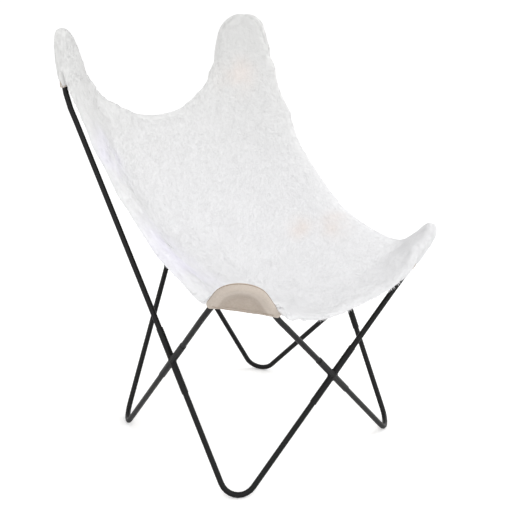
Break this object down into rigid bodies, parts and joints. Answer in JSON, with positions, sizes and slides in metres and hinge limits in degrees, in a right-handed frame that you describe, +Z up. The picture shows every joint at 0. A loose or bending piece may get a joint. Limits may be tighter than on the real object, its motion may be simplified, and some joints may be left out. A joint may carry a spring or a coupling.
{
  "type": "butterfly sling chair",
  "caption": "Butterfly sling chair: a white hide sling with stitched suede corner pockets, hung over the horns of a crossed frame of bent black rod.",
  "frame": {"origin": "on the floor under the centre of the whole chair", "axes": "+Z up, -Y towards the front, where the sitter faces, and X across, with the chair the same to both sides of X = 0"},
  "size_m": [0.5991, 0.6574, 0.8972],
  "materials": {
    "frame_coat": "satin",
    "hide": "matte",
    "backing": "matte",
    "pocket": "matte"
  },
  "bodies": {
    "root": {"floor_rod_front_left": "frame_coat", "floor_rod_front_right": "frame_coat", "floor_rod_rear_left": "frame_coat", "floor_rod_rear_right": "frame_coat", "tall_horn_rod_left": "frame_coat", "tall_horn_rod_right": "frame_coat", "low_horn_rod_left": "frame_coat", "low_horn_rod_right": "frame_coat", "cross_socket_side_left": "frame_coat", "cross_socket_side_right": "frame_coat", "cross_socket_front": "frame_coat", "cross_socket_rear": "frame_coat", "pocket_tall_left": "pocket", "pocket_tall_right": "pocket", "pocket_low_left": "pocket", "pocket_low_right": "pocket", "sling_backing": "backing", "sling_hide": "hide"}
  },
  "joints": []
}
